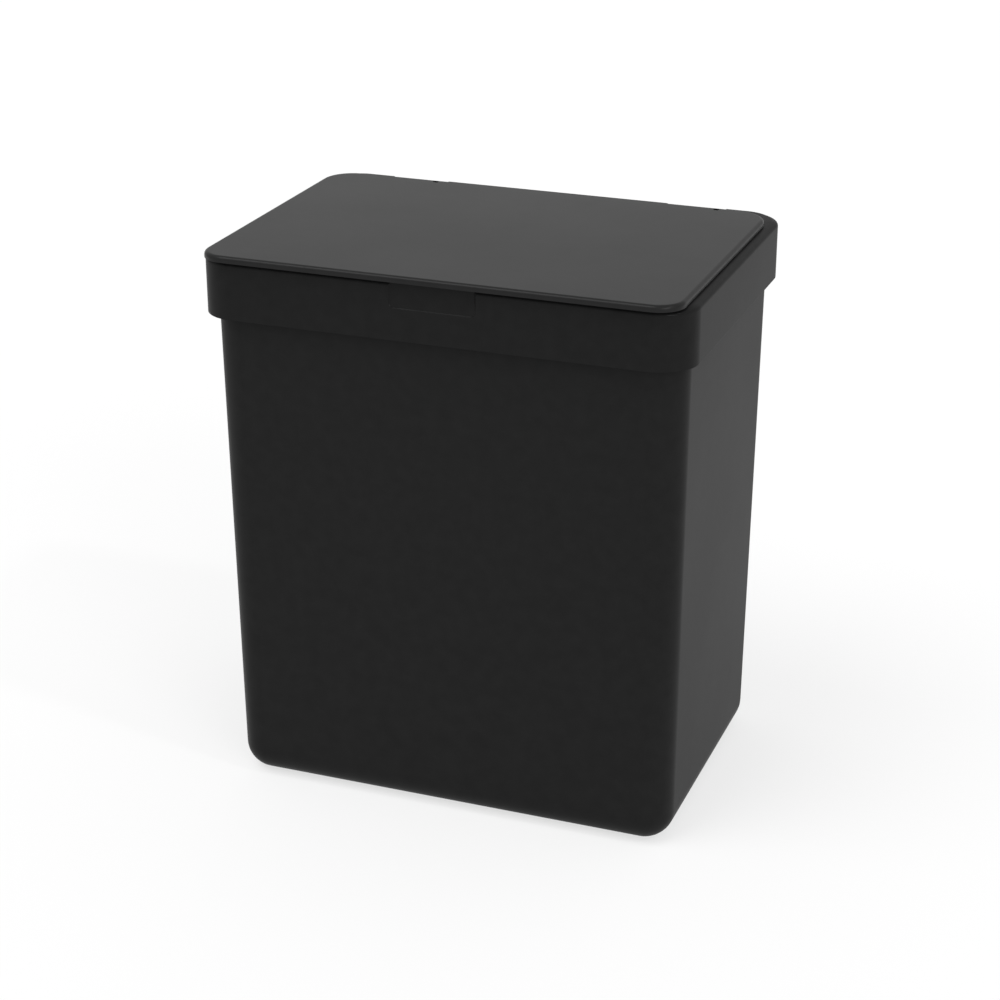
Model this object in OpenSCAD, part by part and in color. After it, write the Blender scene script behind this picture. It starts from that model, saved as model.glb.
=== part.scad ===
// Counter-top waste bin: a tapered bucket, a rim frame that lifts off it, and a flip lid.
// Origin at the centre of the bucket's base. X is the width, -Y the front, +Z up. Millimetres.

/* [Bucket] */
// Outside width of the bucket at the plane it stands on
bucket_base_w = 217.2; // [190:0.2:220]
// Outside depth of the bucket at the plane it stands on
bucket_base_d = 144; // [124:0.2:148]
// Outside width of the bucket just under its rim
bucket_rim_w = 222; // [220:0.5:240]
// Outside depth of the bucket just under its rim
bucket_rim_d = 151.6; // [148:0.2:166]
// Height of the bucket's rim
bucket_h = 250.5; // [190:0.5:300]
// Thickness of the bucket's walls
bucket_wall = 2; // [1.6:0.1:2.6]
// Thickness of the bucket's floor
bucket_floor = 2.4; // [1.8:0.1:4]
// Radius of the bucket's upright corners at the base
bucket_base_r = 14.3; // [14:0.1:18]
// Radius of the bucket's upright corners at the rim
bucket_rim_r = 15.2; // [12:0.1:17]
// Radius of the round between the bucket's walls and its base
bucket_foot_r = 13.8; // [6:0.1:13.9]
// How far the bead round the bucket's rim stands out
bead_w = 1.4; // [0.8:0.1:1.8]
// Height of the bead round the bucket's rim
bead_h = 2.6; // [1.5:0.1:6]

/* [Rim frame] */
// Thickness of the frame's outer wall
frame_wall = 2; // [1.6:0.1:2.6]
// Gap between the bucket's bead and the frame's side walls
frame_gap_side = 0.6; // [0.4:0.1:1.5]
// Gap between the bucket's bead and the frame's front and rear walls
frame_gap_end = 2.4; // [2.2:0.1:4]
// How far the frame hangs down over the bucket's rim
frame_drop = 14.3; // [10:0.1:26]
// Height of the frame's ledge above the bucket's rim
ledge_rise = 13; // [12.8:0.1:17]
// Thickness of the frame's ledge
ledge_t = 2.2; // [1.6:0.1:2.6]
// Radius of the frame's upright corners
frame_corner_r = 18; // [14:0.5:22]
// Radius of the round along the frame's top edge
frame_edge_r = 1.8; // [1:0.1:1.9]
// How far the ledge stands above the round along the frame's top edge
crown_rise = 1; // [0.6:0.1:1.2]
// Slope from that round up to the ledge, in degrees
crown_slope = 24; // [20:1:30]
// Depth of the ledge along the rear, which holds the hinge
ledge_rear_d = 25.6; // [24.6:0.1:34]
// Thickness of the bag lip, the skirt that hangs inside the bucket
lip_t = 1.6; // [1.2:0.1:2.2]
// Gap between the bag lip and the bucket's inside, at the rim
lip_gap = 1.8; // [1.4:0.1:3]
// How far the bag lip reaches below the bucket's rim
lip_drop = 8.5; // [4:0.5:14]
// Thickness of the ribs that seat the frame on the rim
rib_t = 1.6; // [1.2:0.1:2.4]
// Gap between the bead and the legs of the front and rear ribs
rib_gap = 0.35; // [0.3:0.05:0.8]
// Number of ribs along the front
front_ribs = 6; // [2:1:10]
// Number of ribs along the rear, between the hinge pockets
rear_ribs = 3; // [2:1:5]
// Number of ribs along each side
side_ribs = 4; // [2:1:6]

/* [Finger recess] */
// Width of the finger recess in the front of the frame
recess_w = 40.5; // [28:0.5:60]
// Depth of the finger recess at the top of the frame
recess_d = 1.2; // [0.8:0.1:1.8]
// Width of the chamfer along the finger recess's lower edge
recess_step = 0.3; // [0.2:0.05:0.6]
// Height of the recess's lower edge above the frame's lower edge
recess_rise = 14.8; // [11:0.1:20]
// Radius of the recess's lower corners
recess_r = 2.5; // [1:0.1:5]

/* [Lid] */
// Thickness of the lid's plate
lid_t = 2; // [1.6:0.1:2.4]
// Height of the lid's edge
lid_edge_h = 2.95; // [2.8:0.05:4.5]
// Width of the band along the lid's edge
lid_band_w = 2.4; // [2.1:0.1:5]
// Radius of the round along the lid's top edge
lid_edge_r = 1.9; // [0.8:0.1:2]
// Distance from the frame's sides to the lid's sides
lid_inset_side = 3.8; // [2.8:0.1:5]
// How far the lid stands out in front of the frame
lid_overhang = 4; // [2:0.1:9]
// Distance from the frame's back to the lid's rear edge
lid_inset_rear = 14.6; // [13.6:0.1:15.4]
// Radius of the lid's front corners
lid_front_r = 12.4; // [8:0.1:18]
// Radius of the lid's rear corners
lid_rear_r = 15; // [8:0.1:17]
// Gap between the ledge and the closed lid
lid_gap = 0.4; // [0.3:0.05:0.6]
// Thickness of the ring under the lid that enters the mouth
ring_t = 1.4; // [1.2:0.1:2.4]
// Gap between that ring and the mouth
ring_gap = 1; // [0.7:0.1:2]
// How far that ring reaches below the ledge
ring_drop = 2.1; // [0.5:0.1:2.2]

/* [Hinge] */
// Distance from the frame's back to the hinge axis
axis_inset = 8.2; // [8.1:0.1:8.5]
// Depth of the hinge axis below the ledge
axis_drop = 4.4; // [4.3:0.1:4.7]
// Radius of the hinge pins
pin_r = 1.5; // [1:0.1:1.6]
// Radial clearance of the pins in the lid's lugs
pin_running_gap = 0.05; // [0.02:0.01:0.1]
// How far each pin enters its boss on the frame
pin_grip = 5; // [3:0.5:8]
// Wall of the bosses round the pins
boss_wall = 1.6; // [1.2:0.1:1.6]
// Radius of the lid's hinge lugs
lug_r = 4.8; // [4.4:0.1:5]
// Width of each hinge lug
lug_w = 26.5; // [16:0.5:34]
// Distance from the lid's side to the outer end of each lug
lug_inset = 27; // [18:0.5:36]
// How far each lug runs forward under the lid, from the hinge axis
lug_reach = 11; // [9:0.5:12]
// How far the front end of each lug hangs below the lid's edge
lug_drop = 1; // [0.5:0.1:2]
// Gap at the left end of each lug
lug_gap_left = 0.4; // [0.3:0.1:1]
// Gap at the right end of each lug, which lets the pin spring in
lug_gap_right = 2.5; // [0.8:0.1:4]
// Gap round the lugs in their pockets
pocket_gap = 0.5; // [0.3:0.1:0.6]
// Wall of the pockets
pocket_wall = 1.6; // [1.2:0.1:2]
// Distance from the lid's rear edge to the far end of the window beside each lug
window_d = 4.4; // [3:0.1:4.6]
// Width of the bridge between that window and the lid's rear edge
window_bridge = 1; // [0.8:0.1:1.4]

/* [Hidden] */
$fn = 96;
// How far cutters reach past what they cut, and how far joined shapes lap
over = 1;
lap = 0.1;

// Heights
frame_bottom = bucket_h - frame_drop;
ledge_z = bucket_h + ledge_rise;
roof_z = ledge_z - ledge_t + lap;
lid_bottom = ledge_z + lid_gap;
lid_top = lid_bottom + lid_edge_h;

// Plan of the bead, and of the frame that goes round it
bead_x = bucket_rim_w / 2 + bead_w;
bead_y = bucket_rim_d / 2 + bead_w;
frame_x = bead_x + frame_gap_side + frame_wall;
frame_y = bead_y + frame_gap_end + frame_wall;

// Plan of the bag lip and the mouth
lip_inset = bucket_wall + lip_gap;
lip_x = bucket_rim_w / 2 - lip_inset;
lip_y = bucket_rim_d / 2 - lip_inset;
lip_r = bucket_rim_r - lip_inset;
mouth_x = lip_x - lip_t;
mouth_y = lip_y - lip_t;
mouth_r = lip_r - lip_t;
mouth_rear = frame_y - ledge_rear_d;

// Plan of the lid
lid_x = frame_x - lid_inset_side;
lid_front = -frame_y - lid_overhang;
lid_rear = frame_y - lid_inset_rear;

// Hinge
axis_y = frame_y - axis_inset;
axis_z = ledge_z - axis_drop;
boss_r = pin_r + boss_wall;
boss_len = pin_grip + over;
pocket_front = axis_y - lug_reach - pocket_gap;
pocket_floor = axis_z - lug_r - pocket_gap;

// Farthest ribs from the middle, clear of the lip's corners and of the pockets
front_rib_x = lip_x - lip_r - rib_t;
rear_rib_x = lug_x(1) / 2;
side_rib_y = lip_y - lip_r - rib_t;

// ---- Shapes used more than once ----

// Half width or half depth of the bucket at height z, from its halves at base and rim
function at_height(z, base, rim) = base + (rim - base) * z / bucket_h;

// Evenly spaced places from -reach to reach
function spread(count, reach) = [for (i = [0:count - 1]) reach * (2 * i / (count - 1) - 1)];

// Point where a line from p touches the circle of radius r about the origin; side is 1 or -1
function touch(p, r, side) =
    let (a = atan2(p[1], p[0]) + side * acos(r / norm(p)))
    [r * cos(a), r * sin(a)];

// Rounded rectangle from [x0, y0] to [x1, y1], with its own radius at the front and at the rear
module outline(x0, y0, x1, y1, front_r, rear_r) {
    polygon([
        [x0 + front_r, y0], [x1 - front_r, y0], [x1, y0 + front_r], [x1, y1 - rear_r],
        [x1 - rear_r, y1], [x0 + rear_r, y1], [x0, y1 - rear_r], [x0, y0 + front_r]
    ]);
    for (x = [x0 + front_r, x1 - front_r])
        translate([x, y0 + front_r])
            circle(r = front_r);
    for (x = [x0 + rear_r, x1 - rear_r])
        translate([x, y1 - rear_r])
            circle(r = rear_r);
}

// Upright profile of a block's edge, w wide and h high, with its outer top corner rounded.
// Where rise is above 0, the top slopes up from the round to a flat that lies rise higher.
module edge_profile(w, h, edge_r, rise, slope) {
    foot = edge_r * [sin(slope), cos(slope)];
    high = edge_r + rise + over;
    inner = rise > 0 ? foot[0] - (high - foot[1]) / tan(slope) : 0;
    difference() {
        square([w, h]);
        translate([w - edge_r, h - rise - edge_r])
            difference() {
                polygon([[0, 0], [edge_r + over, 0], [edge_r + over, high], [inner, high], foot]);
                circle(r = edge_r);
            }
    }
}

// Straight stretch of a block's edge, from the origin along +Y, facing +X
module edge_bar(length, w, h, edge_r, rise, slope) {
    translate([0, length, 0])
        rotate([90, 0, 0])
            linear_extrude(length)
                edge_profile(w, h, edge_r, rise, slope);
}

// Quarter round of a block's upright corner, about the origin, from direction start
module edge_corner(start, w, h, edge_r, rise, slope) {
    rotate([0, 0, start])
        rotate_extrude(angle = 90)
            edge_profile(w, h, edge_r, rise, slope);
}

// Block on a rounded rectangle, with a round of radius edge_r along its top edge
module soft_block(x0, y0, x1, y1, front_r, rear_r, z0, z1, edge_r, rise = 0, slope = 0) {
    h = z1 - z0;
    side_w = max(front_r, rear_r);
    side_len = y1 - rear_r - y0 - front_r;
    translate([0, 0, z0]) {
        translate([x0 + side_w, y0 + front_r, 0])
            cube([x1 - x0 - 2 * side_w, side_len, h]);
        translate([x1 - side_w, y0 + front_r, 0])
            edge_bar(side_len, side_w, h, edge_r, rise, slope);
        translate([x0 + side_w, y1 - rear_r, 0])
            rotate([0, 0, 180])
                edge_bar(side_len, side_w, h, edge_r, rise, slope);
        translate([x0 + front_r, y0 + front_r, 0])
            rotate([0, 0, -90])
                edge_bar(x1 - x0 - 2 * front_r, front_r, h, edge_r, rise, slope);
        translate([x1 - rear_r, y1 - rear_r, 0])
            rotate([0, 0, 90])
                edge_bar(x1 - x0 - 2 * rear_r, rear_r, h, edge_r, rise, slope);
        translate([x0 + front_r, y0 + front_r, 0])
            edge_corner(180, front_r, h, edge_r, rise, slope);
        translate([x1 - front_r, y0 + front_r, 0])
            edge_corner(270, front_r, h, edge_r, rise, slope);
        translate([x1 - rear_r, y1 - rear_r, 0])
            edge_corner(0, rear_r, h, edge_r, rise, slope);
        translate([x0 + rear_r, y1 - rear_r, 0])
            edge_corner(90, rear_r, h, edge_r, rise, slope);
    }
}

// Round foot of one upright corner: a disc's edge of radius r, its middle line ring_r from the axis
module corner_foot(ring_r, r) {
    rotate_extrude($fn = 48)
        intersection() {
            translate([ring_r, 0])
                circle(r = r, $fn = 48);
            translate([0, -r])
                square([ring_r + r, 2 * r]);
        }
}

// Closed tapered body of the bucket, smaller than its outside by inset, standing on floor_z
module bucket_body(inset, floor_z, top_z) {
    foot_r = bucket_foot_r - inset;
    foot_z = floor_z + foot_r;
    foot_x = at_height(foot_z, bucket_base_w, bucket_rim_w) / 2 - inset;
    foot_y = at_height(foot_z, bucket_base_d, bucket_rim_d) / 2 - inset;
    top_x = at_height(top_z, bucket_base_w, bucket_rim_w) / 2 - inset;
    top_y = at_height(top_z, bucket_base_d, bucket_rim_d) / 2 - inset;
    base_r = bucket_base_r - inset;
    rim_r = bucket_rim_r - inset;
    hull()
        for (x = [-1, 1], y = [-1, 1]) {
            translate([x * (foot_x - base_r), y * (foot_y - base_r), foot_z])
                corner_foot(base_r - foot_r, foot_r);
            translate([x * (top_x - rim_r), y * (top_y - rim_r), top_z - lap])
                cylinder(r = rim_r, h = lap, $fn = 48);
        }
}

// Rectangle centred on the origin with one corner radius
module centred_outline(half_x, half_y, r) {
    outline(-half_x, -half_y, half_x, half_y, r, r);
}

// Left edge of lug number side, -1 or 1
function lug_x(side) = side * (lid_x - lug_inset - lug_w / 2) - lug_w / 2;

// ---- Sub-parts ----

module bucket() {
    color("#202020")
    difference() {
        union() {
            bucket_body(0, 0, bucket_h);
            translate([0, 0, bucket_h - bead_h])
                linear_extrude(bead_h)
                    centred_outline(bead_x, bead_y, bucket_rim_r + bead_w);
        }
        bucket_body(bucket_wall, bucket_floor, bucket_h + over);
    }
}

module frame_shell() {
    difference() {
        soft_block(-frame_x, -frame_y, frame_x, frame_y, frame_corner_r, frame_corner_r,
            frame_bottom, ledge_z, frame_edge_r, crown_rise, crown_slope);
        translate([0, 0, frame_bottom - over])
            linear_extrude(ledge_z - ledge_t - frame_bottom + over)
                centred_outline(frame_x - frame_wall, frame_y - frame_wall, frame_corner_r - frame_wall);
        translate([0, 0, ledge_z - ledge_t - over])
            linear_extrude(2 * over + ledge_t)
                outline(-mouth_x, -mouth_y, mouth_x, mouth_rear, mouth_r, mouth_r);
    }
}

module bag_lip() {
    translate([0, 0, bucket_h - lip_drop])
        linear_extrude(ledge_z - ledge_t / 2 - bucket_h + lip_drop)
            difference() {
                centred_outline(lip_x, lip_y, lip_r);
                centred_outline(mouth_x, mouth_y, mouth_r);
            }
}

// Rib across the gap at the front or rear: it stands on the rim, and its leg centres the frame
module end_rib(x, side) {
    outer = frame_y - frame_wall / 2;
    inner = lip_y - lip_t / 2;
    leg = bead_y + rib_gap;
    foot = frame_bottom + frame_wall;
    translate([x - rib_t / 2, 0, 0])
        rotate([90, 0, 90])
            linear_extrude(rib_t)
                polygon([
                    [side * inner, bucket_h], [side * leg, bucket_h], [side * leg, foot],
                    [side * outer, foot], [side * outer, roof_z], [side * inner, roof_z]
                ]);
}

// Rib across the gap at one side
module side_rib(y, side) {
    inner = lip_x - lip_t / 2;
    outer = frame_x - frame_wall / 2;
    translate([side > 0 ? inner : -outer, y - rib_t / 2, bucket_h])
        cube([outer - inner, rib_t, roof_z - bucket_h]);
}

// Walls of one lug's pocket, with the bosses that hold its pin
module pocket_walls(side) {
    x0 = lug_x(side) - lug_gap_left;
    x1 = lug_x(side) + lug_w + lug_gap_right;
    y0 = pocket_front - pocket_wall;
    z0 = pocket_floor - pocket_wall;
    translate([x0 - pocket_wall, y0, z0])
        cube([x1 - x0 + 2 * pocket_wall, frame_y - frame_wall / 2 - y0, roof_z - z0]);
    translate([x0 - boss_len, axis_y, axis_z])
        rotate([0, 90, 0])
            cylinder(r = boss_r, h = x1 - x0 + 2 * boss_len);
}

// Hollow of one lug's pocket, and the seats of its pin
module pocket_hollow(side) {
    x0 = lug_x(side) - lug_gap_left;
    x1 = lug_x(side) + lug_w + lug_gap_right;
    translate([x0, pocket_front, pocket_floor])
        cube([x1 - x0, frame_y - frame_wall - pocket_front, ledge_z - pocket_floor + over]);
    translate([x0 - boss_len - over, axis_y, axis_z])
        rotate([0, 90, 0])
            cylinder(r = pin_r, h = x1 - x0 + 2 * boss_len + 2 * over);
}

// Wall behind the finger recess
module recess_back() {
    bottom = frame_bottom + recess_rise - frame_wall;
    translate([-recess_w / 2 - frame_wall, -frame_y + frame_wall / 2, bottom])
        cube([recess_w + 2 * frame_wall, recess_d + frame_wall / 2, roof_z - bottom]);
}

// Upright slab with the recess's outline, smaller by inset, ending that far behind the frame's face
module recess_slab(inset, thick) {
    x = recess_w / 2 - inset;
    r = recess_r - inset;
    bottom = frame_bottom + recess_rise + inset;
    translate([0, -frame_y + inset, 0])
        rotate([90, 0, 0])
            linear_extrude(thick) {
                translate([-x, bottom + r])
                    square([2 * x, ledge_z + over - bottom - r]);
                for (side = [-1, 1])
                    translate([side * (x - r), bottom + r])
                        circle(r = r, $fn = 48);
            }
}

// Finger recess: chamfered along its lower edge, with a back that leans inward up to recess_d
module recess_cut() {
    top_w = recess_w - 2 * recess_d;
    hull() {
        recess_slab(0, over);
        recess_slab(recess_step, recess_step);
        translate([-top_w / 2, -frame_y - over, ledge_z])
            cube([top_w, recess_d + over, over]);
    }
}

module rim_frame() {
    color("#232323")
    difference() {
        union() {
            frame_shell();
            bag_lip();
            recess_back();
            for (side = [-1, 1]) {
                pocket_walls(side);
                for (y = spread(side_ribs, side_rib_y))
                    side_rib(y, side);
            }
            for (x = spread(front_ribs, front_rib_x))
                end_rib(x, -1);
            for (x = spread(rear_ribs, rear_rib_x))
                end_rib(x, 1);
        }
        for (side = [-1, 1])
            pocket_hollow(side);
        recess_cut();
    }
}

// One hinge lug, with its middle line on the hinge axis and its left face at x = 0
module lug() {
    rear = lid_rear - axis_y;
    bottom = lid_bottom - axis_z;
    top = lid_top - lid_t / 2 - axis_z;
    root = [rear, bottom + lap];
    under = [-lug_reach, bottom - lug_drop];
    rotate([90, 0, 90])
        linear_extrude(lug_w)
            difference() {
                union() {
                    circle(r = lug_r);
                    polygon([
                        under, [-lug_reach, top], [rear - lid_edge_r, top], root,
                        touch(root, lug_r, -1), [0, 0], touch(under, lug_r, 1)
                    ]);
                }
                circle(r = pin_r + pin_running_gap);
            }
}

module lid() {
    b = lid_band_w;
    color("#262626")
    difference() {
        union() {
            difference() {
                soft_block(-lid_x, lid_front, lid_x, lid_rear, lid_front_r, lid_rear_r,
                    lid_bottom, lid_top, lid_edge_r);
                translate([0, 0, lid_bottom - over])
                    linear_extrude(lid_edge_h - lid_t + over)
                        outline(b - lid_x, lid_front + b, lid_x - b, lid_rear - b,
                            lid_front_r - b, lid_rear_r - b);
            }
            lid_ring();
            for (side = [-1, 1])
                translate([lug_x(side), axis_y, axis_z])
                    lug();
        }
        for (side = [-1, 1])
            translate([lug_x(side) + lug_w, lid_rear - window_d, lid_bottom - over])
                cube([lug_gap_right, window_d - window_bridge, lid_edge_h + 2 * over]);
    }
}

// Ring under the lid that enters the mouth
module lid_ring() {
    x = mouth_x - ring_gap;
    y = mouth_y - ring_gap;
    rear = mouth_rear - ring_gap;
    r = mouth_r - ring_gap;
    translate([0, 0, ledge_z - ring_drop])
        linear_extrude(lid_top - lid_t / 2 - ledge_z + ring_drop)
            difference() {
                outline(-x, -y, x, rear, r, r);
                outline(ring_t - x, ring_t - y, x - ring_t, rear - ring_t, r - ring_t, r - ring_t);
            }
}

// Straight pin through one lug, gripped by the frame at both ends
module hinge_pin(side) {
    x0 = lug_x(side) - lug_gap_left - pin_grip;
    x1 = lug_x(side) + lug_w + lug_gap_right + pin_grip;
    color("#1c1c1c")
    translate([x0, axis_y, axis_z])
        rotate([0, 90, 0])
            cylinder(r = pin_r, h = x1 - x0);
}

module hinge_pin_left() {
    hinge_pin(-1);
}

module hinge_pin_right() {
    hinge_pin(1);
}

bucket();
rim_frame();
lid();
hinge_pin_left();
hinge_pin_right();
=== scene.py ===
import math

import bpy
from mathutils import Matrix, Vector

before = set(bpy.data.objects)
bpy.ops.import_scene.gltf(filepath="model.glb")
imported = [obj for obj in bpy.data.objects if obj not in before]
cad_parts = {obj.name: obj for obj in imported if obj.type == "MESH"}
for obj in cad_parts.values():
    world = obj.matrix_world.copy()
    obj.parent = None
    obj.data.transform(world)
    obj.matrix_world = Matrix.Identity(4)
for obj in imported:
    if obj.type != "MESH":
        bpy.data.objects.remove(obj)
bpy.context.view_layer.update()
scene = bpy.context.scene

# ---- Materials: black polypropylene with a fine moulded grain ----


class Graph:
    """Node tree of one material, built from short calls."""

    def __init__(self, name):
        self.material = bpy.data.materials.new(name)
        self.material.use_nodes = True
        self.tree = self.material.node_tree
        self.tree.nodes.clear()
        self.output = self.tree.nodes.new("ShaderNodeOutputMaterial")

    def node(self, kind, inputs=None, **settings):
        n = self.tree.nodes.new(kind)
        for key, value in settings.items():
            setattr(n, key, value)
        for key, value in (inputs or {}).items():
            if isinstance(value, bpy.types.NodeSocket):
                self.tree.links.new(value, n.inputs[key])
            else:
                n.inputs[key].default_value = value
        return n

    def noise(self, place, scale, detail=2.0, rough=0.5):
        inputs = {"Vector": place, "Scale": scale, "Detail": detail, "Roughness": rough}
        return self.node("ShaderNodeTexNoise", inputs).outputs["Fac"]

    def spread(self, value, low, high, out_low, out_high):
        inputs = {
            "Value": value,
            "From Min": low,
            "From Max": high,
            "To Min": out_low,
            "To Max": out_high,
        }
        return self.node("ShaderNodeMapRange", inputs).outputs["Result"]

    def blend(self, factor, a, b):
        n = self.tree.nodes.new("ShaderNodeMix")
        n.data_type = "RGBA"
        self.tree.links.new(factor, n.inputs[0])
        n.inputs[6].default_value = (*a, 1)
        n.inputs[7].default_value = (*b, 1)
        return n.outputs[2]

    def finish(self, shader):
        self.tree.links.new(shader, self.output.inputs["Surface"])
        return self.material


PLASTIC_IOR = 1.49
SKIN_ROUGHNESS = 0.14
CLOUD_SCALE = 9
MOTTLE_SCALE = 160
GRAIN_SCALE = 2600
GRAIN_STRENGTH = 0.3
GLOSS_SWING = 0.02
EDGE_SAMPLES = 6


def plastic(name, dark, pale, rough, level, skin, grain, edge):
    """Moulded black plastic: fine grain under a thin glossy skin, slow gloss variation, soft edges.

    Colour goes from dark to pale in a fine mottle. The grain's depth and the edge radius are in metres.
    """
    g = Graph(name)
    place = g.node("ShaderNodeTexCoord").outputs["Object"]
    cloud = g.noise(place, CLOUD_SCALE, 3)
    mottle = g.noise(place, MOTTLE_SCALE, 3)
    pits = g.noise(place, GRAIN_SCALE, 2, 0.6)
    soft = g.node("ShaderNodeBevel", {"Radius": edge}, samples=EDGE_SAMPLES).outputs["Normal"]
    bump = g.node(
        "ShaderNodeBump",
        {"Strength": GRAIN_STRENGTH, "Distance": grain, "Height": pits, "Normal": soft},
    ).outputs["Normal"]
    shader = g.node(
        "ShaderNodeBsdfPrincipled",
        {
            "Base Color": g.blend(g.spread(mottle, 0.3, 0.7, 0, 1), dark, pale),
            "Roughness": g.spread(cloud, 0.3, 0.7, rough - GLOSS_SWING, rough + GLOSS_SWING),
            "Normal": bump,
            "Specular IOR Level": level,
            "IOR": PLASTIC_IOR,
            "Coat Weight": skin,
            "Coat Roughness": SKIN_ROUGHNESS,
        },
    )
    return g.finish(shader.outputs["BSDF"])


def grey(v):
    return (v, v, v)


# Name, dark and pale grey, roughness, specular level, skin, grain depth, edge radius
LOOKS = {
    "bucket": plastic("BlackBucket", grey(0.0096), grey(0.0114), 0.46, 0.03, 0.09, 0.00002, 0.0004),
    "rim_frame": plastic("BlackFrame", grey(0.0088), grey(0.0106), 0.46, 0.03, 0.08, 0.00002, 0.0004),
    "lid": plastic("BlackLid", grey(0.0098), grey(0.0116), 0.37, 0.09, 0.1, 0.00001, 0.0003),
    "hinge_pin_left": plastic("BlackPin", grey(0.009), grey(0.011), 0.35, 0.3, 0.0, 0.000005, 0.0002),
}
LOOKS["hinge_pin_right"] = LOOKS["hinge_pin_left"]

for node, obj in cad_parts.items():
    obj.data.materials.clear()
    obj.data.materials.append(LOOKS[node])


CREASE = math.radians(30)
WELD = 0.000001
FLAT_WEIGHT = 100


def soft_shading(obj):
    """Shades a faceted CAD mesh as the round it stands for; its vertices stay where they are."""
    tree = bpy.data.node_groups.new("SoftShading", "GeometryNodeTree")
    for way in ("INPUT", "OUTPUT"):
        tree.interface.new_socket("Geometry", in_out=way, socket_type="NodeSocketGeometry")
    start = tree.nodes.new("NodeGroupInput").outputs[0]
    plain = tree.nodes.new("GeometryNodeRemoveAttribute")
    plain.inputs["Name"].default_value = "custom_normal"
    weld = tree.nodes.new("GeometryNodeMergeByDistance")
    weld.inputs["Distance"].default_value = WELD
    smooth = tree.nodes.new("GeometryNodeSetShadeSmooth")
    crisp = tree.nodes.new("GeometryNodeSetShadeSmooth")
    crisp.domain = "EDGE"
    crisp.inputs["Shade Smooth"].default_value = False
    steep = tree.nodes.new("FunctionNodeCompare")
    steep.operation = "GREATER_THAN"
    steep.inputs[1].default_value = CREASE
    bend = tree.nodes.new("GeometryNodeInputMeshEdgeAngle")
    end = tree.nodes.new("NodeGroupOutput").inputs[0]
    link = tree.links.new
    link(start, plain.inputs["Geometry"])
    link(plain.outputs["Geometry"], weld.inputs["Geometry"])
    link(weld.outputs["Geometry"], smooth.inputs["Geometry"])
    link(smooth.outputs["Geometry"], crisp.inputs["Geometry"])
    link(bend.outputs["Unsigned Angle"], steep.inputs[0])
    link(steep.outputs["Result"], crisp.inputs["Selection"])
    link(crisp.outputs["Geometry"], end)
    obj.modifiers.new("SoftShading", "NODES").node_group = tree
    weighted = obj.modifiers.new("FlatStaysFlat", "WEIGHTED_NORMAL")
    weighted.keep_sharp = True
    weighted.weight = FLAT_WEIGHT


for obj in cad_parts.values():
    soft_shading(obj)

# ---- Studio ----

FLOOR_SIZE = 14
FLOOR_MIDDLE = (0, 3, 0)
FLOOR_GREY = 0.86
FLOOR_WHITE = 0.65
WORLD_STRENGTH = 0.78


def floor_material():
    """Pale floor that takes the shadow. Seen directly or in gloss, FLOOR_WHITE of it is plain white."""
    g = Graph("PaleFloor")
    path = g.node("ShaderNodeLightPath").outputs
    seen = path["Is Camera Ray"]
    for ray in ("Is Glossy Ray", "Is Transmission Ray"):
        seen = g.node("ShaderNodeMath", {0: seen, 1: path[ray]}, operation="ADD").outputs[0]
    share = g.node("ShaderNodeMath", {0: seen, 1: FLOOR_WHITE}, operation="MULTIPLY")
    white = g.node("ShaderNodeEmission", {"Color": (1, 1, 1, 1), "Strength": 1.0})
    flat = g.node("ShaderNodeBsdfDiffuse", {"Color": (*grey(FLOOR_GREY), 1)})
    both = g.node("ShaderNodeMixShader", {0: share.outputs[0]})
    g.tree.links.new(flat.outputs[0], both.inputs[1])
    g.tree.links.new(white.outputs[0], both.inputs[2])
    return g.finish(both.outputs[0])


bpy.ops.mesh.primitive_plane_add(size=FLOOR_SIZE, location=FLOOR_MIDDLE)
floor = bpy.context.object
floor.name = "Floor"
floor.data.materials.append(floor_material())

world = bpy.data.worlds.new("Studio")
scene.world = world
world.use_nodes = True
sky = world.node_tree.nodes["Background"].inputs
sky["Color"].default_value = (1, 1, 1, 1)
sky["Strength"].default_value = WORLD_STRENGTH


def lamp(name, azimuth, elevation, strength, spread):
    """Distant round lamp, spread degrees wide. Azimuth 0 is the front, 90 the right, in degrees."""
    data = bpy.data.lights.new(name, "SUN")
    data.energy = strength
    data.angle = math.radians(spread)
    obj = bpy.data.objects.new(name, data)
    scene.collection.objects.link(obj)
    a, e = math.radians(azimuth), math.radians(elevation)
    towards = Vector((math.sin(a) * math.cos(e), -math.cos(a) * math.cos(e), math.sin(e)))
    obj.rotation_euler = (-towards).to_track_quat("-Z", "Y").to_euler()


lamp("KeyRight", 76, 48, 0.3, 4)
lamp("SoftTop", -40, 60, 1.0, 34)
lamp("SoftRight", 48, 24, 0.8, 30)

# ---- Camera: the photograph's viewing angle ----

CAMERA_PLACE = (0.3621, -0.9669, 0.567)
LOOKS_DOWN = 22.873
TURNED_LEFT = 20.482
SENSOR_WIDTH = 36
LENS = 84.01

camera_data = bpy.data.cameras.new("Camera")
camera = bpy.data.objects.new("Camera", camera_data)
scene.collection.objects.link(camera)
scene.camera = camera
camera_data.sensor_width = SENSOR_WIDTH
camera_data.lens = LENS
camera_data.clip_start, camera_data.clip_end = 0.05, 60
camera.location = CAMERA_PLACE
camera.rotation_euler = (math.radians(90 - LOOKS_DOWN), 0, math.radians(TURNED_LEFT))

scene.view_settings.view_transform = "Standard"
